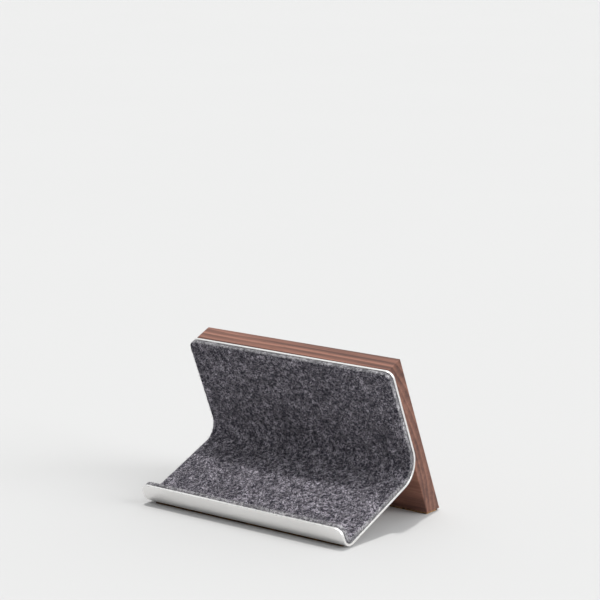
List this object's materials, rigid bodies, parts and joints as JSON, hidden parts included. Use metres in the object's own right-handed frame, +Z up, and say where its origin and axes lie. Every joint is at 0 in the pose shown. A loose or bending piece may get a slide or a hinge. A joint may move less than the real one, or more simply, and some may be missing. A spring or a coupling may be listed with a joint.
{
  "type": "tablet stand",
  "caption": "Desktop stand for a tablet: a bent metal cradle lined with felt, with a front lip and a leaning walnut leg behind it.",
  "frame": {"origin": "middle of the bounding box's base, on the desk that the stand rests on", "axes": "+X to the right along the lip, -Y towards the user, +Z up"},
  "size_m": [0.159, 0.1078, 0.1052],
  "materials": {
    "satin_steel": "fine satin, with bright cut edges",
    "charcoal_felt": "heathered wool felt, charcoal with pale fibres",
    "oiled_walnut": "oiled, sanded smooth, grain along the width",
    "cork_rubber": "fine granulated cork bound with rubber",
    "plated_screw": "zinc plated",
    "brass_insert": "machined and knurled"
  },
  "bodies": {
    "root": {"cradle_plate": "satin_steel", "felt_liner": "charcoal_felt", "leg": "oiled_walnut", "front_foot_strip": "cork_rubber", "rear_foot_strip": "cork_rubber", "screw_left_lower": "plated_screw", "screw_left_upper": "plated_screw", "screw_right_lower": "plated_screw", "screw_right_upper": "plated_screw", "insert_left_lower": "brass_insert", "insert_left_upper": "brass_insert", "insert_right_lower": "brass_insert", "insert_right_upper": "brass_insert"}
  },
  "joints": []
}
